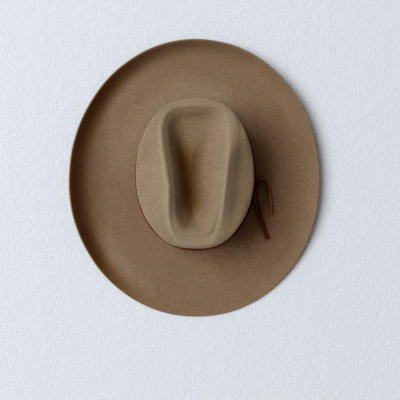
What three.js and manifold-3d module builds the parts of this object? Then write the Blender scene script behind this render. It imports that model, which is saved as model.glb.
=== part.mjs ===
// A wide-brimmed felt hat with a teardrop crease in its crown and a knotted leather band.
// Millimetres. +X is the wearer's left, +Y the back of the head and +Z up. The origin lies on
// the surface that the brim rests on, under the middle of the brim.
import * as THREE from "three";
import { mergeVertices } from "three/addons/utils/BufferGeometryUtils.js";
import Module from "manifold-3d";

const wasm = await Module();
wasm.setup();

// Driving dimensions of the felt
const FELT = 2.4;
const BRIM_CENTRE_X = 0.8;
const BRIM_HALF_WIDTH = 174.9;
const BRIM_BACK = 195.8;
const BRIM_FRONT = -197.7;
const BREAK_HALF_WIDTH = 86.8;
const BREAK_BACK = 114.6;
const BREAK_FRONT = -102.6;
const FOOT_CENTRE_X = 0.4;
const FOOT_Z = FELT + 4.0;
const FILLET_Z = FELT + 1.0;

// How square the ovals are, towards the front and towards the back: 2 is an ellipse
const BRIM_SQUARE = { front: 2.1, back: 2.03 };
const FOOT_SQUARE = { front: 2.15, back: 2.0 };

// How far the brim's edge stands above its flat ring on the wearer's right and left, at the back
// and at the front. The curl begins at a share of the way from the break at the crown (0) to the
// edge (1), sooner at the sides than at the ends, and it fades towards the front.
const EDGE_RISE = { right: 36, left: 16, back: 21.5, front: 1.5 };
const CURL_START = { side: 0.2, end: 0.56, sideUntil: 0.15, endFrom: 0.75 };
const CURL_POWER = 3.4;
const CURL_FADE = { from: 0.1, to: 0.95 };

// Driving dimensions of the leather
const STRAP_WIDTH = 7.0;
const STRAP_THICKNESS = 2.5;
const STRAP_CHAMFER = 0.5;
const GAP = 0.3;
const BAND_LIFT = 1.0;

// How finely the surfaces are divided
const AROUND = 80;
const STRAP_STEPS = 18;
const SMALL_TURN = 1e-3;

// The crown's rings from the valley of the crease out to the foot of the wall, in millimetres
// and degrees. halfWidth is half a ring's width at its middle, front and back are where it ends
// along Y, and taper and flare widen it towards the back. side, atFront and atBack are its
// heights, dent is how far the hollow beside each ridge presses it down, and bow moves its two
// ends towards +X.
const RING_COLUMNS = [
  "name", "halfWidth", "front", "back", "squareFront", "squareBack", "taper", "flare", "turn", "shift",
  "side", "atFront", "atBack", "dent", "bow",
];
const CROWN_RINGS = [
  ["valley", 0, -40, 24, 2, 2, 0, 0, 0, -2.4, 66, 69, 72, 0, 0],
  ["floor", 8.5, -51, 54, 2.2, 2.4, 0.4, 0.8, 0.4, -1, 69, 76, 80, 0, 0],
  ["crease wall", 20, -64.5, 77, 3, 3.2, 0.36, 0.42, 0.9, 0.5, 82, 88, 90, 0, 0],
  ["inner rim", 31, -76.5, 86.5, 3.9, 3.6, 0.26, 0.24, 1.7, 2.9, 102.5, 100, 100, 0, 0],
  ["crest", 39, -86.2, 93, 4.2, 3.3, 0.3, 0.14, 1.5, 2.3, 108, 98, 104.5, 0, 0.2],
  ["outer ridge", 46.5, -90.8, 97.4, 3.8, 3.1, 0.24, 0.24, 0.7, 1.6, 105.5, 96.5, 104, 3, 0.8],
  ["dent", 58, -93.1, 100.2, 3.1, 2.7, 0.12, 0.16, 0.3, 0.6, 102.5, 94, 102, 10.5, 1.4],
  ["dent edge", 72.5, -94.4, 102.3, 2.43, 2.31, 0.03, 0.03, 0, 0.1, 99, 89, 98.5, 14, 1.7],
  ["shoulder", 78.6, -95.2, 104.4, 2.17, 2.08, 0.01, 0.01, -0.1, -0.2, 80, 74, 82, 2.5, 1.7],
  ["wall", 81.4, -97.5, 108.7, 2.15, 2.01, 0, 0, -0.3, 0, 42, 40, 40, 0, 1],
  ["foot", 82.8, -98.8, 110.8, 2.15, 2, 0, 0, 0, FOOT_CENTRE_X, FOOT_Z, FOOT_Z, FOOT_Z, 0, 0],
  ["fillet", 83.8, -99.8, 111.8, 2.15, 2, 0, 0, 0, FOOT_CENTRE_X, FILLET_Z, FILLET_Z, FILLET_Z, 0, 0],
].map((row) => Object.fromEntries(row.map((value, i) => [RING_COLUMNS[i], value])));

// How many steps lead from each crown ring to the next, apart from the tight bend at the foot
const RING_STEPS = 2;

// The brim's rings, as shares of the way from the break to the edge
const BRIM_STATIONS = [0, 0.24, 0.44, 0.6, 0.74, 0.85, 0.94, 1];

// Where the side dents run, between the front (-1) and the back (1) of a ring
const DENT_RUN = { frontEnd: -0.88, frontFull: -0.22, backFull: 0.18, backEnd: 0.54 };

// How a ring's height goes from its side value to its front and back values
const HEIGHT_POWER = 2;

// Routes of the two tie ends over the brim, seen from above, from the knot to the free end
const UPPER_ROUTE = [
  [90.3, -2.2], [92.5, -0.1], [95.9, 0.8], [99.8, 0.1], [103.2, -2.9], [105.6, -7.4],
  [107.2, -15.8], [108.0, -23.0], [108.8, -31.0], [109.6, -41.0], [110.3, -51.0],
];
const LOWER_ROUTE = [
  [88.8, -16.4], [88.1, -20.4], [87.9, -25.5], [88.5, -33.0], [90.6, -42.3], [92.4, -48.5],
  [94.2, -54.5], [96.0, -61.0], [98.0, -67.5], [101.2, -77.8], [104.4, -87.0],
];

// How far each tie end has rolled over from standing on its edge, in degrees, start to end
const UPPER_ROLL = { start: 0, end: 6 };
const LOWER_ROLL = { start: 0, end: 74 };

// The knot: where it sits on the band, and the size of its upright turn and of the turn that
// crosses it, which leans towards the brim
const KNOT = { x: 87.3, y: -9.4, lift: 0.4, length: 12.4, height: 9.4, depth: 5 };
const KNOT_CROSSING = { length: 6, height: 8.2, depth: 6, lean: 32 };
const KNOT_BEVEL = 0.7;

const FELT_COLOUR = new THREE.Color(0.46, 0.36, 0.27);
const LEATHER_COLOUR = new THREE.Color(0.3, 0.11, 0.06);

const feltMaterial = new THREE.MeshStandardMaterial({
  color: FELT_COLOUR,
  roughness: 0.95,
  metalness: 0,
});
const leatherMaterial = new THREE.MeshStandardMaterial({
  color: LEATHER_COLOUR,
  roughness: 0.5,
  metalness: 0,
});

function smoothstep(from, to, x) {
  const t = THREE.MathUtils.clamp((x - from) / (to - from), 0, 1);
  return t * t * (3 - 2 * t);
}

// A point on an oval at an angle that starts at the back and turns towards +X. along runs from
// -1 at the front to 1 at the back.
function onOval(angle, square) {
  const s = Math.sin(angle);
  const c = Math.cos(angle);
  const power = c > 0 ? square.back : square.front;
  const reach = (Math.abs(s) ** power + Math.abs(c) ** power) ** (-1 / power);
  return { across: reach * s, along: reach * c };
}

// The slope of a curve through samples at even steps that never overshoots them. A mirrored
// curve goes straight through its first sample, as the crease's two walls do at the valley.
function slopeAt(values, i, mirrored) {
  if (i === 0) return mirrored ? values[1] - values[0] : 0;
  if (i === values.length - 1) return 0;
  const before = values[i] - values[i - 1];
  const after = values[i + 1] - values[i];
  return before * after <= 0 ? 0 : (2 * before * after) / (before + after);
}

// The value of one column of the ring table, a share of the way from row i to row i + 1
function between(values, i, share, mirrored) {
  if (share === 0) return values[i];
  const t2 = share * share;
  const t3 = t2 * share;
  return (
    (2 * t3 - 3 * t2 + 1) * values[i] +
    (t3 - 2 * t2 + share) * slopeAt(values, i, mirrored) +
    (-2 * t3 + 3 * t2) * values[i + 1] +
    (t3 - t2) * slopeAt(values, i + 1, mirrored)
  );
}

function dentShare(along) {
  return (
    smoothstep(DENT_RUN.frontEnd, DENT_RUN.frontFull, along) *
    (1 - smoothstep(DENT_RUN.backFull, DENT_RUN.backEnd, along))
  );
}

function crownPoint(ring, angle) {
  const { across, along } = onOval(angle, { front: ring.squareFront, back: ring.squareBack });
  const middle = (ring.back + ring.front) / 2;
  const halfLength = (ring.back - ring.front) / 2;
  const widening = 1 + ring.taper * along + ring.flare * Math.max(0, along) ** 2;
  const x = ring.halfWidth * widening * across + ring.bow * along ** 2;
  const y = halfLength * along;
  const turn = THREE.MathUtils.degToRad(ring.turn);
  const end = along < 0 ? ring.atFront : ring.atBack;
  const height = ring.side + (end - ring.side) * Math.abs(along) ** HEIGHT_POWER;
  return new THREE.Vector3(
    ring.shift + x * Math.cos(turn) - y * Math.sin(turn),
    middle + x * Math.sin(turn) + y * Math.cos(turn),
    height - ring.dent * dentShare(along),
  );
}

// How far the brim's edge stands up at a point of its oval
function edgeRise(across, along) {
  const { right, left, back, front } = EDGE_RISE;
  const side = right + (left - right) * smoothstep(-0.7, 0.7, across);
  if (along > 0) return side + (back - side) * along;
  return side + (front - side) * smoothstep(CURL_FADE.from, CURL_FADE.to, -along);
}

function brimPoint(share, angle) {
  const mix = THREE.MathUtils.lerp;
  const { across, along } = onOval(angle, {
    front: mix(FOOT_SQUARE.front, BRIM_SQUARE.front, share),
    back: mix(FOOT_SQUARE.back, BRIM_SQUARE.back, share),
  });
  const back = mix(BREAK_BACK, BRIM_BACK, share);
  const front = mix(BREAK_FRONT, BRIM_FRONT, share);
  const { side, end, sideUntil, endFrom } = CURL_START;
  const start = mix(side, end, smoothstep(sideUntil, endFrom, Math.abs(along)));
  const curl = Math.max(0, (share - start) / (1 - start)) ** CURL_POWER;
  return new THREE.Vector3(
    mix(FOOT_CENTRE_X, BRIM_CENTRE_X, share) + mix(BREAK_HALF_WIDTH, BRIM_HALF_WIDTH, share) * across,
    (back + front) / 2 + ((back - front) / 2) * along,
    FELT + edgeRise(across, along) * curl,
  );
}

// The rings of the felt's upper side, from the valley out to the brim's edge, each a list of
// points round the hat
function feltRings() {
  const angles = Array.from({ length: AROUND }, (_, j) => (2 * Math.PI * j) / AROUND);
  const columns = Object.keys(CROWN_RINGS[0]).filter((key) => key !== "name");
  const samples = Object.fromEntries(columns.map((key) => [key, CROWN_RINGS.map((ring) => ring[key])]));
  const rings = [];
  const ringAt = (i, share) =>
    Object.fromEntries(columns.map((key) => [key, between(samples[key], i, share, key === "halfWidth")]));
  CROWN_RINGS.forEach((row, i) => {
    const steps = i + 2 < CROWN_RINGS.length ? RING_STEPS : 1;
    for (let step = 0; step < steps; step += 1) {
      const ring = ringAt(i, step / steps);
      rings.push(angles.map((angle) => crownPoint(ring, angle)));
    }
  });
  BRIM_STATIONS.forEach((share) => rings.push(angles.map((angle) => brimPoint(share, angle))));
  return rings;
}

// A vertex of the valley line serves both of its sides, so the two halves of that ring share
// their numbers
function vertexNumber(ring, j) {
  const k = j % AROUND;
  const valleyCount = AROUND / 2 + 1;
  if (ring === 0) return k < valleyCount ? k : AROUND - k;
  return valleyCount + (ring - 1) * AROUND + k;
}

// The felt as one closed body: its upper side, the same surface one thickness below it, and the
// cut edge of the brim between the two
function feltBody() {
  const rings = feltRings();
  const upper = [...rings[0].slice(0, AROUND / 2 + 1), ...rings.slice(1).flat()];
  const faces = [];
  for (let ring = 0; ring + 1 < rings.length; ring += 1) {
    for (let j = 0; j < AROUND; j += 1) {
      const a = vertexNumber(ring, j);
      const b = vertexNumber(ring, j + 1);
      const c = vertexNumber(ring + 1, j + 1);
      const d = vertexNumber(ring + 1, j);
      faces.push([a, c, d], [a, b, c]);
    }
  }
  const sheet = new THREE.BufferGeometry().setFromPoints(upper).setIndex(faces.flat());
  sheet.computeVertexNormals();
  const normals = sheet.getAttribute("normal");
  const lower = upper.map((point, i) =>
    point.clone().addScaledVector(new THREE.Vector3().fromBufferAttribute(normals, i), -FELT),
  );
  const under = upper.length;
  const index = faces.flatMap(([a, b, c]) => [a, b, c, under + c, under + b, under + a]);
  const last = rings.length - 1;
  for (let j = 0; j < AROUND; j += 1) {
    const a = vertexNumber(last, j);
    const b = vertexNumber(last, j + 1);
    index.push(a, under + b, under + a, a, b, under + b);
  }
  return new THREE.BufferGeometry().setFromPoints([...upper, ...lower]).setIndex(index);
}

// The strap's section with its corners taken off, width along u and thickness along v
function strapSection() {
  const u = STRAP_WIDTH / 2;
  const v = STRAP_THICKNESS / 2;
  const c = STRAP_CHAMFER;
  return [
    [u - c, v], [-u + c, v], [-u, v - c], [-u, -v + c],
    [-u + c, -v], [u - c, -v], [u, -v + c], [u, v - c],
  ];
}

// The section's points round a centre, with its width and its thickness along two directions
function sectionRing(centre, wide, thick) {
  return strapSection().map(([u, v]) => centre.clone().addScaledVector(wide, u).addScaledVector(thick, v));
}

// A strap through rings of section points, closed on itself or capped at both ends
function strapThrough(sections, closed) {
  const sides = sections[0].length;
  const points = sections.flat();
  const index = [];
  const spans = closed ? sections.length : sections.length - 1;
  for (let i = 0; i < spans; i += 1) {
    const next = (i + 1) % sections.length;
    for (let k = 0; k < sides; k += 1) {
      const m = (k + 1) % sides;
      const [a, b, c, d] = [i * sides + k, i * sides + m, next * sides + m, next * sides + k];
      index.push(a, c, b, a, d, c);
    }
  }
  if (!closed) {
    const end = (sections.length - 1) * sides;
    for (let k = 1; k + 1 < sides; k += 1) {
      index.push(0, k, k + 1, end, end + k + 1, end + k);
    }
  }
  return new THREE.BufferGeometry().setFromPoints(points).setIndex(index);
}

// The band stands on edge round the foot of the crown, just clear of the fillet
function bandGeometry() {
  const fillet = CROWN_RINGS.find((ring) => ring.name === "fillet");
  const out = GAP + STRAP_THICKNESS / 2;
  const middle = (fillet.back + fillet.front) / 2;
  const halfLength = (fillet.back - fillet.front) / 2 + out;
  const halfWidth = fillet.halfWidth + out;
  const height = FELT + BAND_LIFT + STRAP_WIDTH / 2;
  const pointAt = (angle) => {
    const { across, along } = onOval(angle, FOOT_SQUARE);
    return new THREE.Vector3(FOOT_CENTRE_X + halfWidth * across, middle + halfLength * along, height);
  };
  const up = new THREE.Vector3(0, 0, 1);
  const sections = Array.from({ length: AROUND }, (_, j) => {
    const angle = (2 * Math.PI * j) / AROUND;
    const centre = pointAt(angle);
    const forward = pointAt(angle + SMALL_TURN).sub(pointAt(angle - SMALL_TURN)).normalize();
    const outward = new THREE.Vector3().crossVectors(up, forward);
    return sectionRing(centre, up, outward);
  });
  return strapThrough(sections, true);
}

// A tie end lies on the brim along its route, on its edge where it leaves the knot and rolled
// over by the given angle at its free end
function tieGeometry(route, roll) {
  const knots = route.map(([x, y]) => new THREE.Vector3(x, y, 0));
  const curve = new THREE.CatmullRomCurve3(knots, false, "centripetal");
  const up = new THREE.Vector3(0, 0, 1);
  const sections = Array.from({ length: STRAP_STEPS + 1 }, (_, i) => {
    const share = i / STRAP_STEPS;
    const angle = THREE.MathUtils.degToRad(THREE.MathUtils.lerp(roll.start, roll.end, share ** 2));
    const lift = (STRAP_WIDTH / 2) * Math.cos(angle) + (STRAP_THICKNESS / 2) * Math.sin(angle);
    const centre = curve.getPointAt(share).setZ(FELT + GAP + lift);
    const forward = curve.getTangentAt(share);
    const aside = new THREE.Vector3().crossVectors(forward, up);
    const wide = up.clone().multiplyScalar(Math.cos(angle)).addScaledVector(aside, Math.sin(angle));
    const thick = new THREE.Vector3().crossVectors(wide, forward);
    return sectionRing(centre, wide, thick);
  });
  return strapThrough(sections, false);
}

// One turn of the knot: a rounded D on the band's outer face, its flat side towards the crown
function knotTurn({ length, height, depth }) {
  const outline = new THREE.Shape();
  const half = height / 2;
  outline.moveTo(0, -half);
  outline.bezierCurveTo(depth * 0.9, -half, depth, -half * 0.6, depth, 0);
  outline.bezierCurveTo(depth, half * 0.6, depth * 0.9, half, 0, half);
  const turn = new THREE.ExtrudeGeometry(outline, {
    depth: length - 2 * KNOT_BEVEL,
    curveSegments: 7,
    bevelEnabled: true,
    bevelThickness: KNOT_BEVEL,
    bevelSize: KNOT_BEVEL,
    bevelOffset: -KNOT_BEVEL,
    bevelSegments: 2,
  });
  turn.translate(0, 0, KNOT_BEVEL - length / 2);
  turn.rotateX(Math.PI / 2);
  return turn;
}

function toManifold(geometry) {
  const bare = geometry.clone();
  bare.deleteAttribute("normal");
  bare.deleteAttribute("uv");
  const merged = mergeVertices(bare, 1e-4);
  return new wasm.Manifold(
    new wasm.Mesh({
      numProp: 3,
      vertProperties: new Float32Array(merged.getAttribute("position").array),
      triVerts: new Uint32Array(merged.index.array),
    }),
  );
}

function toGeometry(solid) {
  const { numProp, vertProperties, triVerts } = solid.getMesh();
  const positions = new THREE.InterleavedBuffer(vertProperties, numProp);
  return new THREE.BufferGeometry()
    .setAttribute("position", new THREE.InterleavedBufferAttribute(positions, 3, 0))
    .setIndex(new THREE.BufferAttribute(triVerts, 1));
}

// The knot is an upright turn of the strap with a second turn crossing over it
function knotGeometry() {
  const upright = knotTurn(KNOT);
  const crossing = knotTurn(KNOT_CROSSING);
  crossing.rotateX(THREE.MathUtils.degToRad(KNOT_CROSSING.lean));
  return toGeometry(toManifold(upright).add(toManifold(crossing)));
}

function piece(name, geometry, material) {
  const mesh = new THREE.Mesh(geometry, material);
  mesh.name = name;
  return mesh;
}

const hat = new THREE.Group();
hat.add(piece("felt_body", feltBody(), feltMaterial));

const tie = new THREE.Group();
tie.add(piece("hat_band", bandGeometry(), leatherMaterial));
const knot = piece("band_knot", knotGeometry(), leatherMaterial);
knot.position.set(KNOT.x, KNOT.y, FELT + GAP + KNOT.lift + KNOT.height / 2);
tie.add(knot);
tie.add(piece("tie_end_upper", tieGeometry(UPPER_ROUTE, UPPER_ROLL), leatherMaterial));
tie.add(piece("tie_end_lower", tieGeometry(LOWER_ROUTE, LOWER_ROLL), leatherMaterial));
hat.add(tie);

export default hat;
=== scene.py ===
# %% [markdown]
# # A wide-brimmed felt hat
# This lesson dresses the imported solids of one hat: a pressed felt crown and brim, a leather band
# on edge round the crown's foot, its knot, and the two loose ends that lie on the brim. The packed
# model is the fixed frame. Every piece here is made in that frame, so each one goes where its
# solid is.

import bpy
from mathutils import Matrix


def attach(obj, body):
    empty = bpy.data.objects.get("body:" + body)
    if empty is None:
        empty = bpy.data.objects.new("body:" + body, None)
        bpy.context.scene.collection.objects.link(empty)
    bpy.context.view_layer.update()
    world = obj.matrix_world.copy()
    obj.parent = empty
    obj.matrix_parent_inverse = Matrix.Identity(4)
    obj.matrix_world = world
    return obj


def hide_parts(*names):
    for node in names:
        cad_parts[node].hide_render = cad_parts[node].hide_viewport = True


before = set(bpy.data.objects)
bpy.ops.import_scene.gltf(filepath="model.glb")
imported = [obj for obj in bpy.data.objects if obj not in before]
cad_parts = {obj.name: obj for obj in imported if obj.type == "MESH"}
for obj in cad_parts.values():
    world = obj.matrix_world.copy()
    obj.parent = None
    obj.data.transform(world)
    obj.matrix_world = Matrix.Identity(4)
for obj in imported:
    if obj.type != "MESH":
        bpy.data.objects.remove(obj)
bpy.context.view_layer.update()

# %% Tools used all through
import math

import bmesh
import bpy
import numpy as np
from mathutils import Vector

MM = 0.001
scene = bpy.context.scene

# %% [markdown]
# ## The camera
# The photograph looks straight down on the crown, with no tilt: the brim reaches as far on the
# left of the crown as on its right. A camera could be tilted and shifted to get the same frame,
# but a level one a metre above the floor gives the crown's parallax with nothing more to set. Its
# lens follows from how wide a stretch of floor the picture takes in.

# %% Camera
CAMERA_PLACE = (0.00696, -0.03014, 1.0)
FLOOR_IN_VIEW = 0.5796
SENSOR_WIDTH = 36.0

camera_data = bpy.data.cameras.new("camera")
camera_data.sensor_width = SENSOR_WIDTH
camera_data.lens = SENSOR_WIDTH * CAMERA_PLACE[2] / FLOOR_IN_VIEW
camera_data.clip_start = 0.01
camera = bpy.data.objects.new("camera", camera_data)
camera.location = CAMERA_PLACE
scene.collection.objects.link(camera)
scene.camera = camera
print("lens", round(camera_data.lens, 2), "mm")

# %% [markdown]
# ## Meshes from numbers
# Felt and leather are both made here as rings of points joined by quads. Subdivision surfaces
# could round a coarse cage instead, but then the outline would only come near the measured one.
# A small helper turns points and faces into a smooth object, and stores any value that a finish
# needs later, such as how far a point is on a cut edge.

# %% Mesh helpers
def make_piece(name, points, faces, values):
    """A smooth mesh piece from points in millimetres, with named values on its points."""
    mesh = bpy.data.meshes.new(name)
    mesh.from_pydata((np.asarray(points) * MM).tolist(), [], faces)
    for key, numbers in values.items():
        layer = mesh.attributes.new(key, "FLOAT", "POINT")
        layer.data.foreach_set("value", np.asarray(numbers, dtype=np.float32))
    mesh.shade_smooth()
    piece = bpy.data.objects.new(name, mesh)
    scene.collection.objects.link(piece)
    print(name, len(points), "points,", len(faces), "faces")
    return piece


def ring_faces(rings, around, closed_along=False):
    """Quads between rings of the same number of points, each ring closed on itself."""
    faces = []
    for i in range(rings if closed_along else rings - 1):
        here, there = i * around, (i + 1) % rings * around
        for j in range(around):
            k = (j + 1) % around
            faces.append((here + j, here + k, there + k, there + j))
    return faces


# %% [markdown]
# ## Straps
# The band, the knot and the loose ends are all cut from one leather strap, 7 mm wide and 2.5 mm
# thick. A curve with a bevel could draw them, but a flat strap twists as it lies, and its two cut
# edges have another colour than its faces. So each one is swept by hand: a rounded rectangle at
# every step of its line, with a value on each point that says how far it is on a cut edge.

# %% Strap section and sweep
STRAP_WIDTH = 7.0
STRAP_THICKNESS = 2.5
STRAP_ROUNDING = 0.7
CORNER_STEPS = 4
FACE_STEPS = 4


def strap_section(width=STRAP_WIDTH, thickness=STRAP_THICKNESS, rounding=STRAP_ROUNDING):
    """Points round a strap's section, each across the width and through the thickness."""
    flat_u, flat_v = width / 2 - rounding, thickness / 2 - rounding
    corners = [(1, 1), (-1, 1), (-1, -1), (1, -1)]
    points = []
    for number, (u, v) in enumerate(corners):
        for step in range(CORNER_STEPS + 1):
            turn = math.pi / 2 * (number + step / CORNER_STEPS)
            points.append((u * flat_u + rounding * math.cos(turn),
                           v * flat_v + rounding * math.sin(turn)))
        if number % 2 == 0:
            for step in range(1, FACE_STEPS):
                points.append((u * flat_u * (1 - 2 * step / FACE_STEPS), v * thickness / 2))
    return np.array(points)


def sweep_strap(centres, wide, thick, section, closed=False):
    """Points, faces and cut-edge values of a strap whose section follows centres.

    Its width lies along wide and its thickness along thick. An open strap gets a cap at each end.
    """
    section = np.broadcast_to(section, (len(centres), *np.shape(section)[-2:]))
    rings = centres[:, None] + section[..., :1] * wide[:, None] + section[..., 1:] * thick[:, None]
    around = rings.shape[1]
    faces = ring_faces(len(rings), around, closed)
    half_width = np.abs(section[..., 0]).max(axis=1, keepdims=True)
    cut = np.clip((np.abs(section[..., 0]) - half_width + STRAP_ROUNDING) / STRAP_ROUNDING, 0, 1) ** 2
    if not closed:
        last = (len(rings) - 1) * around
        faces.append(tuple(reversed(range(around))))
        faces.append(tuple(range(last, last + around)))
        cut[[0, -1]] = 1
    return rings.reshape(-1, 3), faces, cut.reshape(-1)


# %% [markdown]
# ## The two loose ends
# Below the knot the strap's two ends lie loose on the brim. The upper one leaves the knot's top,
# bends over and comes to lie on its edge, so from above only its paler cut edge shows. The lower
# one leaves the knot's foot and turns until it lies flat on its face. Cloth or a rope simulation
# could drop them there, but leather this stiff keeps the bend it was given, so each follows the
# line of its solid, with a roll that grows along it. They are free straps.

# %% Routes of the loose ends
FELT = 2.4
GAP = 0.3
UPPER_ROUTE = [
    (90.3, -2.2), (92.5, -0.1), (95.9, 0.8), (99.8, 0.1), (103.2, -2.9), (105.6, -7.4),
    (107.2, -15.8), (108.0, -23.0), (108.8, -31.0), (109.6, -41.0), (110.3, -51.0),
]
LOWER_ROUTE = [
    (88.8, -16.4), (88.1, -20.4), (87.9, -25.5), (88.5, -33.0), (90.6, -42.3), (92.4, -48.5),
    (94.2, -54.5), (96.0, -61.0), (98.0, -67.5), (101.2, -77.8), (104.4, -87.0),
]
UPPER_ROLL = (0, 6)
LOWER_ROLL = (28, 80)
ROLLS_BETWEEN = (0.1, 0.7)
STRAP_STEPS = 90
UP = np.array([0.0, 0.0, 1.0])


def smooth_line(route, steps, samples=40):
    """Evenly spaced points on a centripetal Catmull-Rom curve through a route."""
    knots = np.array(route, dtype=float)
    knots = np.vstack([2 * knots[0] - knots[1], knots, 2 * knots[-1] - knots[-2]])
    dense = []
    for p0, p1, p2, p3 in zip(knots, knots[1:], knots[2:], knots[3:]):
        t1 = np.linalg.norm(p1 - p0) ** 0.5
        t2 = t1 + np.linalg.norm(p2 - p1) ** 0.5
        t3 = t2 + np.linalg.norm(p3 - p2) ** 0.5
        t = np.linspace(t1, t2, samples, endpoint=False)[:, None]
        a1 = p0 + (p1 - p0) * t / t1
        a2 = p1 + (p2 - p1) * (t - t1) / (t2 - t1)
        a3 = p2 + (p3 - p2) * (t - t2) / (t3 - t2)
        b1, b2 = a1 + (a2 - a1) * t / t2, a2 + (a3 - a2) * (t - t1) / (t3 - t1)
        dense.append(b1 + (b2 - b1) * (t - t1) / (t2 - t1))
    dense = np.vstack([*dense, knots[-2:-1]])
    travelled = np.concatenate([[0], np.cumsum(np.linalg.norm(np.diff(dense, axis=0), axis=1))])
    even = np.linspace(0, travelled[-1], steps + 1)
    return np.stack([np.interp(even, travelled, dense[:, i]) for i in range(dense.shape[1])], axis=1)


def smoothstep(low, high, x):
    """0 up to low, 1 from high on, and a soft step between them."""
    t = np.clip((x - low) / (high - low), 0, 1)
    return t * t * (3 - 2 * t)


def unit(vectors):
    """The same directions, one long."""
    return vectors / np.linalg.norm(vectors, axis=-1, keepdims=True)


def tie_frames(route, roll):
    """Centres of a loose end's sections, with the directions of its width and its thickness."""
    flat = smooth_line(route, STRAP_STEPS)
    share = np.linspace(0, 1, STRAP_STEPS + 1)
    rolled = roll[0] + (roll[1] - roll[0]) * smoothstep(*ROLLS_BETWEEN, share)
    angle = np.radians(rolled)[:, None]
    lift = STRAP_WIDTH / 2 * np.cos(angle) + STRAP_THICKNESS / 2 * np.sin(angle)
    centres = np.hstack([flat, FELT + GAP + lift])
    forward = unit(np.gradient(centres, axis=0))
    aside = unit(np.cross(forward, UP))
    wide = UP * np.cos(angle) + aside * np.sin(angle)
    return centres, unit(wide), unit(np.cross(wide, forward))


def tie_end(name, node, route, roll, slant):
    """One loose end with its free end cut at a slant."""
    centres, wide, thick = tie_frames(route, roll)
    section = strap_section()
    points, faces, cut = sweep_strap(centres, wide, thick, section)
    forward = unit(centres[-1] - centres[-2])
    points[-len(section):] += slant * section[:, :1] * forward
    piece = make_piece(name, points, faces, {"cut": cut})
    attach(piece, "root")
    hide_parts(node)
    tuple(centres[0] * MM)
    [tuple(c * MM) for c in centres]
    return piece


upper_end = tie_end("loose_end_upper", "tie_end_upper", UPPER_ROUTE, UPPER_ROLL, slant=0.12)
lower_end = tie_end("loose_end_lower", "tie_end_lower", LOWER_ROUTE, LOWER_ROLL, slant=-0.25)

# %% [markdown]
# ## The felt
# The crown and brim are one body of felt, steamed over a block and pressed with the hands. A
# sculpted mesh could follow the photograph freely, but a hat is a stack of level ovals, and a
# table of ovals is easier to measure and to correct. Each row is one ring, from the valley of the
# crease over the ridges and down to the foot of the wall. A smooth curve through each column
# gives every ring between them.

# %% The crown's rings, in millimetres and degrees
RING_COLUMNS = (
    "half_width", "front", "back", "square_front", "square_back", "taper", "flare", "turn", "shift",
    "side", "at_front", "at_back", "dent", "bow",
)
FOOT_CENTRE_X = 0.4
FOOT_Z = FELT + 4.0
FILLET_Z = FELT + 1.0
CROWN_RINGS = {
    "valley": (0, -40, 24, 2, 2, 0, 0, 0, -3.4, 68, 71, 74.5, 0, 0),
    "floor": (10, -52, 56, 2.2, 2.4, 0.4, 0.8, 0.4, -1.8, 70.5, 77, 81, 0, 0),
    "crease wall": (20, -64.5, 77, 3, 3.2, 0.36, 0.42, 0.9, 0.5, 82, 88, 90, 0, 0),
    "inner rim": (31, -76.5, 86.5, 3.9, 3.6, 0.26, 0.24, 1.7, 2.9, 102.5, 100, 100, 0, 0),
    "crest": (39, -86.2, 93, 4.2, 3.3, 0.3, 0.14, 1.5, 2.3, 108, 98, 104.5, 0, 0.2),
    "outer ridge": (46.5, -90.8, 97.4, 3.8, 3.1, 0.24, 0.24, 0.7, 1.6, 105.5, 96.5, 104, 3, 0.8),
    "dent": (58, -93.1, 100.2, 3.1, 2.7, 0.12, 0.16, 0.3, 0.6, 102.5, 94, 102, 10.5, 1.4),
    "dent edge": (72.5, -94.4, 102.3, 2.43, 2.31, 0.03, 0.03, 0, 0.1, 99, 89, 98.5, 14, 1.7),
    "shoulder": (78.6, -95.2, 104.4, 2.17, 2.08, 0.01, 0.01, -0.1, -0.2, 80, 74, 82, 2.5, 1.7),
    "wall": (81.4, -97.5, 108.7, 2.15, 2.01, 0, 0, -0.3, 0, 42, 40, 40, 0, 1),
    "foot": (82.8, -98.8, 110.8, 2.15, 2, 0, 0, 0, FOOT_CENTRE_X, FOOT_Z, FOOT_Z, FOOT_Z, 0, 0),
    "fillet": (83.8, -99.8, 111.8, 2.15, 2, 0, 0, 0, FOOT_CENTRE_X, FILLET_Z, FILLET_Z, FILLET_Z, 0, 0),
}
DENT_RUN = {"front_end": -0.88, "front_full": -0.22, "back_full": 0.18, "back_end": 0.54}

# %% The brim's sizes, and where its curl starts and ends
BRIM_CENTRE_X, BRIM_HALF_WIDTH, BRIM_BACK, BRIM_FRONT = 0.8, 174.9, 195.8, -197.7
BREAK_HALF_WIDTH, BREAK_BACK, BREAK_FRONT = 86.8, 114.6, -102.6
BRIM_SQUARE = {"front": 2.1, "back": 2.03}
FOOT_SQUARE = {"front": 2.15, "back": 2}
EDGE_RISE = {"right": 36, "left": 16, "back": 21.5, "front": 1.5}
RIGHT_TO_LEFT = (-0.7, 0.7)
SIDE_TO_FRONT = (0.1, 0.95)
SIDE_TO_BACK = (-0.1, 0.8)
CURL_START, CURL_POWER = {"side": 0.2, "end": 0.56}, 4.2
CURL_SIDE_TO_END = (0.15, 0.65)

AROUND = 288
CROWN_STEPS = 7
BRIM_STEPS = 36
angles = np.arange(AROUND) * 2 * math.pi / AROUND


# %% Points on one ring
def oval(angle, square_front, square_back):
    """A point on an oval: across from -1 to 1, and along from -1 at the front to 1 at the back."""
    power = np.where(np.cos(angle) > 0, square_back, square_front)
    s, c = np.sin(angle), np.cos(angle)
    reach = (np.abs(s) ** power + np.abs(c) ** power) ** (-1 / power)
    return reach * s, reach * c


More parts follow.
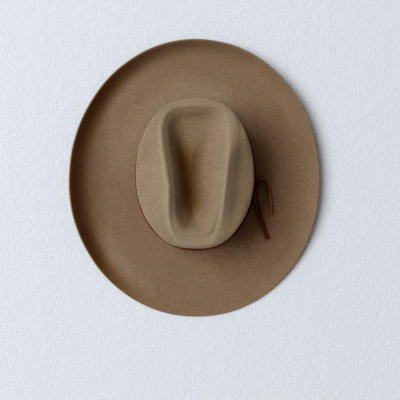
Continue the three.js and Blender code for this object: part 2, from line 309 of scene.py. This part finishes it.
def crown_ring(ring):
    """Points of one crown ring from its row of the table."""
    across, along = oval(angles, ring["square_front"], ring["square_back"])
    middle, half_length = (ring["back"] + ring["front"]) / 2, (ring["back"] - ring["front"]) / 2
    widening = 1 + ring["taper"] * along + ring["flare"] * np.maximum(0, along) ** 2
    x = ring["half_width"] * widening * across + ring["bow"] * along ** 2
    y = half_length * along
    turn = math.radians(ring["turn"])
    end = np.where(along < 0, ring["at_front"], ring["at_back"])
    height = ring["side"] + (end - ring["side"]) * along ** 2
    dented = smoothstep(DENT_RUN["front_end"], DENT_RUN["front_full"], along)
    dented *= 1 - smoothstep(DENT_RUN["back_full"], DENT_RUN["back_end"], along)
    return np.stack([ring["shift"] + x * math.cos(turn) - y * math.sin(turn),
                     middle + x * math.sin(turn) + y * math.cos(turn),
                     height - ring["dent"] * dented], axis=1)


def edge_rise(across, along):
    """How far the brim's edge is raised, which differs between the hat's four sides."""
    right, left, back, front = (EDGE_RISE[key] for key in ("right", "left", "back", "front"))
    side = right + (left - right) * smoothstep(*RIGHT_TO_LEFT, across)
    front_half = side + (front - side) * smoothstep(*SIDE_TO_FRONT, -along)
    back_half = side + (back - side) * smoothstep(*SIDE_TO_BACK, along)
    return np.where(along > 0, back_half, front_half)


def brim_ring(share):
    """Points of one brim ring, a share of the way from the break at the crown to the edge."""
    mix = lambda low, high: low + (high - low) * share
    across, along = oval(angles, mix(FOOT_SQUARE["front"], BRIM_SQUARE["front"]),
                         mix(FOOT_SQUARE["back"], BRIM_SQUARE["back"]))
    back, front = mix(BREAK_BACK, BRIM_BACK), mix(BREAK_FRONT, BRIM_FRONT)
    to_end = smoothstep(*CURL_SIDE_TO_END, np.abs(along))
    start = CURL_START["side"] + (CURL_START["end"] - CURL_START["side"]) * to_end
    curl = np.maximum(0, (share - start) / (1 - start)) ** CURL_POWER
    half_width = mix(BREAK_HALF_WIDTH, BRIM_HALF_WIDTH)
    return np.stack([mix(FOOT_CENTRE_X, BRIM_CENTRE_X) + half_width * across,
                     (back + front) / 2 + (back - front) / 2 * along,
                     FELT + edge_rise(across, along) * curl], axis=1)


# %% A smooth curve through a column
def column_slopes(values, mirrored):
    """Slopes that never overshoot. A mirrored column runs straight through its first value."""
    steps = np.diff(values)
    slopes = np.zeros(len(values))
    slopes[0] = steps[0] if mirrored else 0
    for i in range(1, len(values) - 1):
        if steps[i - 1] * steps[i] > 0:
            slopes[i] = 2 * steps[i - 1] * steps[i] / (steps[i - 1] + steps[i])
    return slopes


def column_at(values, slopes, place):
    """The value of a column at a place, which is a row's number or lies between two."""
    i = min(int(place), len(values) - 2)
    t = place - i
    return ((2 * t ** 3 - 3 * t ** 2 + 1) * values[i] + (t ** 3 - 2 * t ** 2 + t) * slopes[i]
            + (3 * t ** 2 - 2 * t ** 3) * values[i + 1] + (t ** 3 - t ** 2) * slopes[i + 1])


columns = {key: [row[i] for row in CROWN_RINGS.values()] for i, key in enumerate(RING_COLUMNS)}
slopes = {key: column_slopes(values, key == "half_width") for key, values in columns.items()}
crown_places = np.arange((len(CROWN_RINGS) - 1) * CROWN_STEPS + 1) / CROWN_STEPS
crown = [crown_ring({key: column_at(columns[key], slopes[key], place) for key in RING_COLUMNS})
         for place in crown_places]
brim = [brim_ring(share) for share in np.linspace(0, 1, BRIM_STEPS + 1)]
upper = np.array(crown + brim)
print("felt rings", upper.shape)

# %% [markdown]
# ### Small forms in the felt
# Hands pressed the crease into a damp crown, so its ridges aren't plain rolls. The ridge on the
# wearer's left has a double lip: a crisp inner line with a shallow groove beside it, which runs
# round to the front. The one on the right has a single narrow bead, and it swings out towards
# the front. The brim isn't quite level either. A height picture could carry such marks, but it
# would need a flat map of the hat. They are pressed into the rings instead, along the surface's
# own direction, before the felt gets its thickness.

# %% Where a point is on the rings
BRIM_PLACES = 4

brim_places = crown_places[-1] + 1 + np.linspace(0, BRIM_PLACES, BRIM_STEPS + 1)
place = np.concatenate([crown_places, brim_places])[:, None]
turn_degrees = np.degrees(angles)[None, :]
to_back, to_right = np.cos(angles), -np.sin(angles)
print("places from the valley to the edge", place.min(), "to", place.max())


def near_place(middle, width):
    """1 at a place on the way from the valley to the edge, fading within about two widths."""
    return np.exp(-((place - middle) / width) ** 2)


def between_turns(fade_in, fade_out):
    """1 between two turns round the hat, in degrees from its back, with a fade at each."""
    return smoothstep(*fade_in, turn_degrees) * (1 - smoothstep(*fade_out, turn_degrees))


def surface_normals(rings):
    """Directions out of the felt's upper side."""
    around = np.roll(rings, -1, axis=1) - np.roll(rings, 1, axis=1)
    outward = np.gradient(rings, axis=0)
    return unit(np.cross(around, outward) + 1e-9 * UP)


# %% Swing the right ridge out, towards the front
SWING = 8.5
SWING_PLACE, SWING_WIDTH = 4, 2
SWING_TO_FRONT, SWING_TO_RIGHT = (0.1, 0.7), (0.05, 0.45)

swing = smoothstep(*SWING_TO_FRONT, -to_back) * smoothstep(*SWING_TO_RIGHT, to_right)
upper[..., 0] -= SWING * swing * near_place(SWING_PLACE, SWING_WIDTH)
level_x, level_y = upper[..., 0], upper[..., 1]

# %% The double lip on the left ridge and the bead on the right one
LIP_TURNS = ((70, 100), (190, 225))
LIP_HEIGHT, LIP_INSIDE_GROOVE = 1.3, 0.55
GROOVE_DEPTH = 1.15
GROOVE_PLACE, GROOVE_IN_AT_FRONT, GROOVE_IN_TURNS = 3.45, 0.3, (110, 190)
GROOVE_WIDTH, GROOVE_WIDER_AT_FRONT, GROOVE_WIDER_TURNS = 0.27, 0.08, (120, 180)
BEAD_TURNS = ((200, 230), (295, 325))
BEAD = {"height": 0.9, "place": 3.9, "width": 0.3}
BESIDE_BEAD = {"height": -0.6, "place": 4.6, "width": 0.4}

groove_place = GROOVE_PLACE - GROOVE_IN_AT_FRONT * smoothstep(*GROOVE_IN_TURNS, turn_degrees)
groove_width = GROOVE_WIDTH + GROOVE_WIDER_AT_FRONT * smoothstep(*GROOVE_WIDER_TURNS, turn_degrees)
lip = LIP_HEIGHT * near_place(groove_place - LIP_INSIDE_GROOVE, groove_width)
lip = (lip - GROOVE_DEPTH * near_place(groove_place, groove_width)) * between_turns(*LIP_TURNS)
bead = sum(form["height"] * near_place(form["place"], form["width"]) for form in (BEAD, BESIDE_BEAD))
bead = bead * between_turns(*BEAD_TURNS)
print("lip", round(float(lip.min()), 2), "to", round(float(lip.max()), 2), "mm")

# %% Faint waves
# Each wave: its height, and its two ripples by length along x, length along y and start
WAVES = (
    (0.35, (23, 41, 1.1), (-67, 29, 0.0)),
    (0.2, (11, -17, 0.4), (math.inf, 13, 2.0)),
)
FLAT_UP_TO = (4.0, 8.0)


def ripple(x_length, y_length, start):
    """A sine over the hat, with the lengths along x and y that one radian takes."""
    return np.sin(level_x / x_length + level_y / y_length + start)


waves = sum(height * ripple(*first) * ripple(*second) for height, first, second in WAVES)
waves = waves * smoothstep(*FLAT_UP_TO, upper[..., 2])
print("waves", round(float(np.abs(waves).max()), 2), "mm high")

# %% Press them in
upper = upper + surface_normals(upper) * (lip + bead + waves)[..., None]
mirrored = -np.arange(AROUND) % AROUND
upper[0] = (upper[0] + upper[0][mirrored]) / 2

# %% Close the felt: underside and rounded cut edge
EDGE_BULGE = 0.5
EDGE_TURNS = np.radians([30, 60, 90, 120, 150])

normals = surface_normals(upper)
normals[0] = unit(normals[0] + normals[0][mirrored])
lower = upper - FELT * normals
rim_middle, rim_half = (upper[-1] + lower[-1]) / 2, (upper[-1] - lower[-1]) / 2
rim_out = unit(upper[-1] - upper[-2])
edge = [rim_middle + rim_half * math.cos(t) + rim_out * EDGE_BULGE * math.sin(t) for t in EDGE_TURNS]
felt_rings = np.concatenate([upper, edge, lower[::-1]])
print("brim half width", round(float(np.abs(felt_rings[..., 0]).max()), 1), "mm")

# %% [markdown]
# ### Where light and shade are painted on the felt
# Light and shade are painted into the felt's colour in places: a painted highlight lightens the
# ridges, painted shade makes the bottom of the crease and the inside of the right-hand curl dark
# and warm, and painted light lightens the felt round the crown's foot at the back and just inside
# that curl. Such areas could be painted on a picture, but the rings already say where each point
# is, so each area is a number on the points that the finish reads.

# %% Shares on the upper side
CROWN_ENDS = (9.6, 11.2)
CURL_SHADE_RIM = {"places": (14.9, 15.8), "to_right": (0.2, 0.85)}
RIDGE_HIGHLIGHT = {"place": 4.1, "width": 0.75, "less_at_back": 0.6, "to_back": (0.5, 0.9)}
PAINTED_LIGHT_AT_FOOT = {"place": 12.6, "width": 1.1, "to_back": (0.1, 0.9), "turned": 0.3}
PAINTED_LIGHT_IN_CURL = {"place": 14.85, "width": 0.45, "to_right": (0.2, 0.8), "strength": 0.65}

heights = upper[..., 2]
on_crown = (1 - smoothstep(*CROWN_ENDS, place)) * np.ones_like(heights)
# Painted shade: the inside of the right-hand curl, which faces away from the light, is darkened.
curl_shade = smoothstep(*CURL_SHADE_RIM["places"], place) * smoothstep(*CURL_SHADE_RIM["to_right"], to_right)
# Painted highlight: the felt along the ridges is made lighter, less so at the back.
ridge_highlight = near_place(RIDGE_HIGHLIGHT["place"], RIDGE_HIGHLIGHT["width"])
ridge_highlight = ridge_highlight * (1 - RIDGE_HIGHLIGHT["less_at_back"] * smoothstep(*RIDGE_HIGHLIGHT["to_back"], to_back))
# Painted light: the brushed share lightens the felt round the crown's foot at the back and just inside
# the right-hand curl.
painted_light_turns = np.cos(angles + PAINTED_LIGHT_AT_FOOT["turned"])
painted_light_at_foot = near_place(PAINTED_LIGHT_AT_FOOT["place"], PAINTED_LIGHT_AT_FOOT["width"])
painted_light_at_foot = painted_light_at_foot * smoothstep(*PAINTED_LIGHT_AT_FOOT["to_back"], painted_light_turns)
painted_light_in_curl = near_place(PAINTED_LIGHT_IN_CURL["place"], PAINTED_LIGHT_IN_CURL["width"])
painted_light_in_curl = painted_light_in_curl * smoothstep(*PAINTED_LIGHT_IN_CURL["to_right"], to_right)
brushed = painted_light_at_foot + PAINTED_LIGHT_IN_CURL["strength"] * painted_light_in_curl
print("felt shares", brushed.shape)

# %% Painted shade at the bottom of the crease, along a slanting line
CREASE_PLACES = (2.0, 3.6)
CREASE_TOP, CREASE_DEPTHS = 104, (3, 24)
DARK_LINE = {"x": -14.7, "y": -3.3, "slant": -0.133}
DARK_WIDTH = {"right": 10, "left": 27}
BACK_FADE, BACK_LOSS = (22, 62), 0.85
FRONT_FADE, FRONT_LOSS = (30, 60), 0.7

# Painted shade: the crease's left wall and bottom, which lie in shadow, are darkened.
crease_shade = 1 - smoothstep(*CREASE_PLACES, place)
crease_shade = crease_shade * smoothstep(*CREASE_DEPTHS, CREASE_TOP - heights)
from_line = level_x - DARK_LINE["x"] - DARK_LINE["slant"] * (level_y - DARK_LINE["y"])
dark_width = np.where(from_line > 0, DARK_WIDTH["left"], DARK_WIDTH["right"])
crease_shade = crease_shade * np.exp(-(from_line / dark_width) ** 2)
crease_shade = crease_shade * (1 - BACK_LOSS * smoothstep(*BACK_FADE, level_y))
crease_shade = crease_shade * (1 - FRONT_LOSS * smoothstep(*FRONT_FADE, -level_y))
print("dark points", int((crease_shade > 0.5).sum()))

# %% The shares of every ring: upper side, cut edge and underside
on_edge = np.ones((len(edge), AROUND))
none_above, none_on_edge = np.zeros_like(heights), 0 * on_edge
values = {
    "crown": np.concatenate([on_crown, none_on_edge, on_crown[::-1]]),
    # The crease and curl shares carry painted shade; the ridge and brushed shares carry painted light.
    "crease": np.concatenate([crease_shade, none_on_edge, none_above]),
    "ridge_highlight": np.concatenate([ridge_highlight, none_on_edge, none_above]),
    "curl": np.concatenate([curl_shade, none_on_edge, none_above]),
    "brushed": np.concatenate([brushed, none_on_edge, none_above]),
    "cut": np.concatenate([none_above, on_edge, none_above]),
}

# %% Make the felt, joining the two sides of the valley
felt = make_piece("felt_hat", felt_rings.reshape(-1, 3), ring_faces(len(felt_rings), AROUND),
                  {key: numbers.reshape(-1) for key, numbers in values.items()})


def join_valley(piece):
    """The first and the last ring fold onto themselves: each pair of their points becomes one."""
    cage = bmesh.new()
    cage.from_mesh(piece.data)
    bmesh.ops.remove_doubles(cage, verts=cage.verts, dist=1e-6)
    bmesh.ops.dissolve_degenerate(cage, edges=cage.edges, dist=1e-7)
    bmesh.ops.recalc_face_normals(cage, faces=cage.faces)
    cage.to_mesh(piece.data)
    open_edges = sum(1 for e in cage.edges if len(e.link_faces) != 2)
    cage.free()
    piece.data.shade_smooth()
    print(piece.name, "open edges", open_edges)


join_valley(felt)
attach(felt, "root")
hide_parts("felt_body")

# %% [markdown]
# ## The band
# The band is the same strap, standing on edge round the foot of the crown, 0.3 mm clear of the
# felt. A torus scaled to an oval would get the thickness wrong at its ends, so it is swept along
# the same oval as the felt's foot, grown by the gap and half a thickness.

# %% Band
BAND_LIFT = 1.0
BAND_STEPS = 360


def band_line(steps, grown=GAP + STRAP_THICKNESS / 2):
    """Centres of the band's sections, outside the ring that ends the crown's wall."""
    fillet = dict(zip(RING_COLUMNS, CROWN_RINGS["fillet"]))
    turns = np.arange(steps) * 2 * math.pi / steps
    across, along = oval(turns, FOOT_SQUARE["front"], FOOT_SQUARE["back"])
    half_length = (fillet["back"] - fillet["front"]) / 2 + grown
    x = FOOT_CENTRE_X + (fillet["half_width"] + grown) * across
    y = (fillet["back"] + fillet["front"]) / 2 + half_length * along
    return np.stack([x, y, np.full(steps, FELT + BAND_LIFT + STRAP_WIDTH / 2)], axis=1)


band_centres = band_line(BAND_STEPS)
band_forward = unit(np.roll(band_centres, -1, axis=0) - np.roll(band_centres, 1, axis=0))
band_up = np.broadcast_to(UP, band_centres.shape)
points, faces, cut = sweep_strap(band_centres, band_up, unit(np.cross(band_up, band_forward)),
                                 strap_section(), closed=True)
band = make_piece("leather_band", points, faces, {"cut": cut})
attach(band, "root")
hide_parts("hat_band")

# %% [markdown]
# ## The knot
# It is a plain overhand knot, pulled tight against the band. A real one is a single strap that
# passes over and under itself. Seen from outside it shows two things: the strap's upright turn
# round the bundle, and one that crosses it at a slant. So it is made of two closed turns of strap
# round a short core where the band's ends go in, all in the room that the knot's solid takes.

# %% Knot
KNOT_PLACE = np.array([90.2, -9.4, 7.8])
KNOT_STRAP = strap_section(5.8, 1.7, 0.55)
TURN_STEPS = 64
TURN_SQUARE = 2.6


def knot_turn(depth, height, lean, width_share=1.0, pinch=0.12):
    """A closed turn of strap round the bundle, depth out from the band and height up and down."""
    t = np.arange(TURN_STEPS) * 2 * math.pi / TURN_STEPS
    across, along = oval(math.pi / 2 - t, TURN_SQUARE, TURN_SQUARE)
    flat = np.stack([depth * across, np.zeros(TURN_STEPS), height * along], axis=1)
    forward = unit(np.roll(flat, -1, axis=0) - np.roll(flat, 1, axis=0))
    wide = np.broadcast_to(np.array([0.0, 1.0, 0.0]), flat.shape)
    thick = unit(np.cross(wide, forward))
    angle = math.radians(lean)
    c, s = math.cos(angle), math.sin(angle)
    spin = np.array([[1, 0, 0], [0, c, -s], [0, s, c]])
    narrowing = width_share * (1 - pinch * np.abs(np.sin(t)) ** 3)
    section = np.broadcast_to(KNOT_STRAP, (TURN_STEPS, *KNOT_STRAP.shape)).copy()
    section[..., 0] *= narrowing[:, None]
    centres = KNOT_PLACE + flat @ spin.T
    return sweep_strap(centres, wide @ spin.T, thick @ spin.T, section, closed=True)


# %% The core of the knot
CORE_SECTION = strap_section(6.2, 3.4, 1.3)
CORE_STEPS = 24
CORE_REACH = 7.4
CORE_BENDS_FROM, CORE_BENDS_IN = 3.5, 2.6
CORE_THINS_FROM, CORE_THINS_BY = 4.0, 0.25
CORE_BEHIND = 0.4


def knot_core():
    """The bundle inside the turns, running back to the band at both ends."""
    y = np.linspace(-CORE_REACH, CORE_REACH, CORE_STEPS + 1)
    x = -CORE_BEHIND - CORE_BENDS_IN * smoothstep(CORE_BENDS_FROM, CORE_REACH, np.abs(y))
    centres = KNOT_PLACE + np.stack([x, y, np.zeros_like(y)], axis=1)
    forward = unit(np.gradient(centres, axis=0))
    wide = np.broadcast_to(UP, centres.shape)
    thinner = 1 - CORE_THINS_BY * smoothstep(CORE_THINS_FROM, CORE_REACH, np.abs(y))
    section = CORE_SECTION * thinner[:, None, None]
    return sweep_strap(centres, wide, unit(np.cross(wide, forward)), section)


def join_sweeps(name, sweeps):
    """One piece from several sweeps, each with its faces counted on from the points before it."""
    points, faces, cut = [], [], []
    for sweep_points, sweep_faces, sweep_cut in sweeps:
        start = sum(map(len, points))
        faces += [tuple(start + j for j in face) for face in sweep_faces]
        points.append(sweep_points)
        cut.append(sweep_cut)
    return make_piece(name, np.concatenate(points), faces, {"cut": np.concatenate(cut)})


knot = join_sweeps("leather_knot", [
    knot_turn(depth=2.2, height=3.9, lean=-8),
    knot_turn(depth=2.6, height=4.1, lean=32, width_share=0.85),
    knot_core(),
])
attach(knot, "root")
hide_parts("band_knot")
print("knot size", [round(x * 1000, 1) for x in knot.dimensions])

# %% [markdown]
# ## Shader sums
# A finish is a sum of noises and masks. Written node by node it is long and hard to read, so one
# small class wraps a socket and lets Python's own signs add the Math nodes. Colours and vectors
# don't go through it, because a Math node would turn a colour grey.

# %% The wrapped socket
class Wire:
    """A shader socket that Python's signs can work on, and the way to add any other node."""

    def __init__(self, socket):
        self.socket = socket
        self.tree = socket.id_data

    @staticmethod
    def node(tree, kind, settings=None, sockets=None, out=0):
        """Adds a node of a type, sets its settings first and then its sockets, by name or number."""
        made = tree.nodes.new(kind)
        for key, value in (settings or {}).items():
            setattr(made, key, value)
        for key, value in (sockets or {}).items():
            if isinstance(value, Wire):
                tree.links.new(value.socket, made.inputs[key])
            else:
                made.inputs[key].default_value = value
        return Wire(made.outputs[out])

    def math(self, operation, first, second):
        return Wire.node(self.tree, "ShaderNodeMath", {"operation": operation}, {0: first, 1: second})

    def __add__(self, other):
        return self.math("ADD", self, other)

    def __mul__(self, other):
        return self.math("MULTIPLY", self, other)

    __radd__ = __add__
    __rmul__ = __mul__


# %% Short names for the nodes that every finish needs
def new_finish(name):
    """A new material, its node tree and its main shader."""
    material = bpy.data.materials.new(name)
    material.use_nodes = True
    return material, material.node_tree, material.node_tree.nodes["Principled BSDF"]


def noise(tree, where, scale, detail=2.0, roughness=0.5, distortion=0.0):
    return Wire.node(tree, "ShaderNodeTexNoise", {"noise_dimensions": "3D"},
                     {"Vector": where, "Scale": scale, "Detail": detail, "Roughness": roughness,
                      "Distortion": distortion})


def value_on(tree, key):
    """A number that the mesh keeps on its points."""
    return Wire.node(tree, "ShaderNodeAttribute", {"attribute_name": key}, out="Fac")


def mix_colour(tree, share, first, second, blend="MIX"):
    """The first colour, turning into the second as share grows."""
    pad = lambda colour: colour if isinstance(colour, Wire) else (*colour, 1.0)
    return Wire.node(tree, "ShaderNodeMix", {"data_type": "RGBA", "blend_type": blend},
                     {0: share, 6: pad(first), 7: pad(second)}, out=2)


def ramp_share(tree, value, low, high):
    """A soft step from low to high."""
    return Wire.node(tree, "ShaderNodeMapRange", {"interpolation_type": "SMOOTHSTEP"},
                     {"Value": value, "From Min": low, "From Max": high})


def bumped(tree, height, strength, distance):
    """Shading normals that follow a height, in metres at its highest."""
    return Wire.node(tree, "ShaderNodeBump", {},
                     {"Strength": strength, "Distance": distance, "Height": height})


def plug(tree, shader, wires):
    """Joins each wire to the shader's socket of that name."""
    for key, wire in wires.items():
        tree.links.new(wire.socket, shader.inputs[key])


# %% [markdown]
# ## Felt finish
# Wool felt has no weave: it is a mat of fine fibres, brushed so that the nap lies one way. It
# looks soft because each fibre catches light at its side, which the shader's sheen gives. A hair
# system could grow the fuzz, but it would be far too heavy for a library part. So the colour gets
# broad mottling and a fine grain, and the grain also roughens the surface. The crown is paler
# than the brim, and the shares on the points add a painted highlight on the ridges, painted shade
# in the crease and the curl, and painted light round the crown's foot and just inside the curl.

# %% Felt
FELT_BRIM = (0.221, 0.159, 0.12)
FELT_CROWN = (0.257, 0.199, 0.149)
FELT_PAINTED_SHADE = (0.13, 0.07, 0.027)
FELT_PAINTED_LIGHT = (0.308, 0.251, 0.198)
FELT_CUT = (0.43, 0.335, 0.25)
# Painted shade darkens the crease and the curl; painted light lightens the ridges and the brushed
# areas.
FELT_CHANGES = (
    ("crease", 0.9, FELT_PAINTED_SHADE),
    ("ridge_highlight", 0.8, FELT_PAINTED_LIGHT),
    ("curl", 0.75, FELT_PAINTED_SHADE),
    ("brushed", 0.45, FELT_PAINTED_LIGHT),
)


def felt_finish():
    """The hat's brushed wool felt."""
    material, tree, shader = new_finish("wool_felt")
    where = Wire.node(tree, "ShaderNodeTexCoord", out="Object")
    grain = noise(tree, where, 560, 3, 0.7)
    fibre = noise(tree, where, 2400, 2, 0.6)
    mottle = noise(tree, where, 70, 4, 0.6)
    patches = noise(tree, where, 14, 3, 0.55, 0.4)
    colour = mix_colour(tree, value_on(tree, "crown"), FELT_BRIM, FELT_CROWN)
    for key, strength, changed in FELT_CHANGES:
        colour = mix_colour(tree, value_on(tree, key) * strength, colour, changed)
    tone = 0.79 + 0.22 * mottle + 0.2 * patches
    tone = tone * (0.42 + 1.16 * grain)
    grey = Wire.node(tree, "ShaderNodeCombineColor", {}, {0: tone, 1: tone, 2: tone})
    colour = mix_colour(tree, 1.0, colour, grey, "MULTIPLY")
    colour = mix_colour(tree, value_on(tree, "cut") * 0.1, colour, FELT_CUT)
    height = 0.6 * grain + 0.4 * fibre + 0.5 * mottle
    bump = bumped(tree, height, 0.6, 0.0013)
    plug(tree, shader, {"Base Color": colour, "Roughness": 0.84 + 0.14 * fibre, "Normal": bump})
    shader.inputs["Specular IOR Level"].default_value = 0.15
    shader.inputs["Sheen Weight"].default_value = 0.35
    shader.inputs["Sheen Roughness"].default_value = 0.5
    shader.inputs["Sheen Tint"].default_value = (0.95, 0.82, 0.68, 1.0)
    return material


felt.data.materials.append(felt_finish())
print("felt finish nodes", len(felt.data.materials[0].node_tree.nodes))

# %% [markdown]
# ## Leather finish
# The strap is oiled red-brown leather: its faces are dark, with fine pores, faint creases across
# it and rubbed spots. The loose ends' cut edges show the paler tan inside, and the band's and the
# knot's are oiled as dark as their faces. A material for each edge could do that, with a hard
# line between the two. The cut value on each point fades from one to the other instead, so the
# same function makes both finishes.

# %% Leather
LEATHER_FACE = (0.105, 0.022, 0.009)
LEATHER_RUBBED = (0.21, 0.06, 0.022)
LEATHER_CUT = (0.42, 0.17, 0.055)


def leather_finish(name, cut_strength):
    """Oiled leather, with a strength for the paler tan of its cut edges."""
    material, tree, shader = new_finish(name)
    where = Wire.node(tree, "ShaderNodeTexCoord", out="Object")
    pores = Wire.node(tree, "ShaderNodeTexVoronoi", {"feature": "F1"},
                      {"Vector": where, "Scale": 1900.0})
    creases = noise(tree, where, 420, 4, 0.65, 1.5)
    rubbed = ramp_share(tree, noise(tree, where, 95, 3, 0.6), 0.5, 0.78)
    cut = value_on(tree, "cut")
    colour = mix_colour(tree, rubbed * 0.7, LEATHER_FACE, LEATHER_RUBBED)
    fibres = noise(tree, where, 1500, 3, 0.6)
    raw = mix_colour(tree, fibres, tuple(0.55 * c for c in LEATHER_CUT), LEATHER_CUT)
    colour = mix_colour(tree, cut * cut_strength, colour, raw)
    height = 0.7 * creases + 0.3 * pores
    bump = bumped(tree, height, 0.4, 0.0004)
    rough = 0.36 + 0.2 * creases + 0.2 * cut
    plug(tree, shader, {"Base Color": colour, "Roughness": rough, "Normal": bump})
    shader.inputs["Specular IOR Level"].default_value = 0.45
    return material


strap_leather = leather_finish("strap_leather", 0.85)
band_leather = leather_finish("band_leather", 0.0)
for piece in (upper_end, lower_end):
    piece.data.materials.append(strap_leather)
for piece in (band, knot):
    piece.data.materials.append(band_leather)
print("leather finish nodes", len(strap_leather.node_tree.nodes))

# %% [markdown]
# ## Floor, light and tone
# The hat lies on a plain pale surface. One wide soft light stands far off on the wearer's right,
# a little towards the back, as a window would, and an even pale sky fills the shadows. The crown
# then throws one broad soft shadow over the brim on its other side. The photograph's darks are
# deeper and redder than Blender's plain view shows them. A contrast look would deepen all three
# channels alike, so each channel gets a curve of its own instead, with a soft toe near black that
# is longest in blue.

# %% Floor
FLOOR_SIZE = 12.0
FLOOR_COLOUR = (0.673, 0.724, 0.795)

floor_mesh = bpy.data.meshes.new("floor")
far = FLOOR_SIZE / 2
floor_corners = [(-far, -far, 0), (far, -far, 0), (far, far, 0), (-far, far, 0)]
floor_mesh.from_pydata(floor_corners, [], [(0, 1, 2, 3)])
floor = bpy.data.objects.new("floor", floor_mesh)
scene.collection.objects.link(floor)


def floor_finish():
    """Painted plaster with fine trowel marks."""
    material, tree, shader = new_finish("pale_plaster")
    where = Wire.node(tree, "ShaderNodeTexCoord", out="Object")
    ripples = noise(tree, where, 75, 4, 0.55)
    trowelled = noise(tree, where, 330, 2, 0.5)
    height = 0.5 * ripples + 0.5 * trowelled
    bump = bumped(tree, height, 0.65, 0.0034)
    plug(tree, shader, {"Normal": bump})
    shader.inputs["Base Color"].default_value = (*FLOOR_COLOUR, 1.0)
    shader.inputs["Roughness"].default_value = 0.9
    return material


floor_mesh.materials.append(floor_finish())

# %% Light
KEY_AZIMUTH, KEY_ELEVATION, KEY_DISTANCE = 164.0, 53.0, 7.0
KEY_SIZE, KEY_POWER = 4.8, 570.0
SKY_COLOUR, SKY_STRENGTH = (1.0, 0.97, 0.95), 0.3


def direction(azimuth, elevation):
    """The way to the light, from degrees round the hat and degrees above the floor."""
    a, e = math.radians(azimuth), math.radians(elevation)
    return Vector((math.cos(e) * math.cos(a), math.cos(e) * math.sin(a), math.sin(e)))


key_data = bpy.data.lights.new("window", "AREA")
key_data.shape = "SQUARE"
key_data.size = KEY_SIZE
key_data.energy = KEY_POWER
key = bpy.data.objects.new("window", key_data)
key.location = KEY_DISTANCE * direction(KEY_AZIMUTH, KEY_ELEVATION)
key.rotation_euler = direction(KEY_AZIMUTH, KEY_ELEVATION).to_track_quat("Z", "Y").to_euler()
scene.collection.objects.link(key)

world = bpy.data.worlds.new("sky")
world.use_nodes = True
sky = world.node_tree.nodes["Background"]
sky.inputs["Color"].default_value = (*SKY_COLOUR, 1.0)
sky.inputs["Strength"].default_value = SKY_STRENGTH
scene.world = world

# %% Tone
TOES = (0.028, 0.04, 0.058)
TOE_STOPS = (0.015, 0.03, 0.05, 0.08, 0.12, 0.18, 0.3, 0.5)


def with_toe(x, toe):
    """Nearly straight, but values near black are pulled down to it softly."""
    return x - toe + toe * math.exp(-x / toe)


view = scene.view_settings
view.view_transform = "Standard"
view.look = "None"
view.use_curve_mapping = True
for curve, toe in zip(view.curve_mapping.curves, TOES):
    curve.points[-1].location = (1.0, with_toe(1.0, toe))
    for stop in TOE_STOPS:
        curve.points.new(stop, with_toe(stop, toe))
view.curve_mapping.update()
print("tone at a tenth", [round(with_toe(0.1, toe), 4) for toe in TOES])
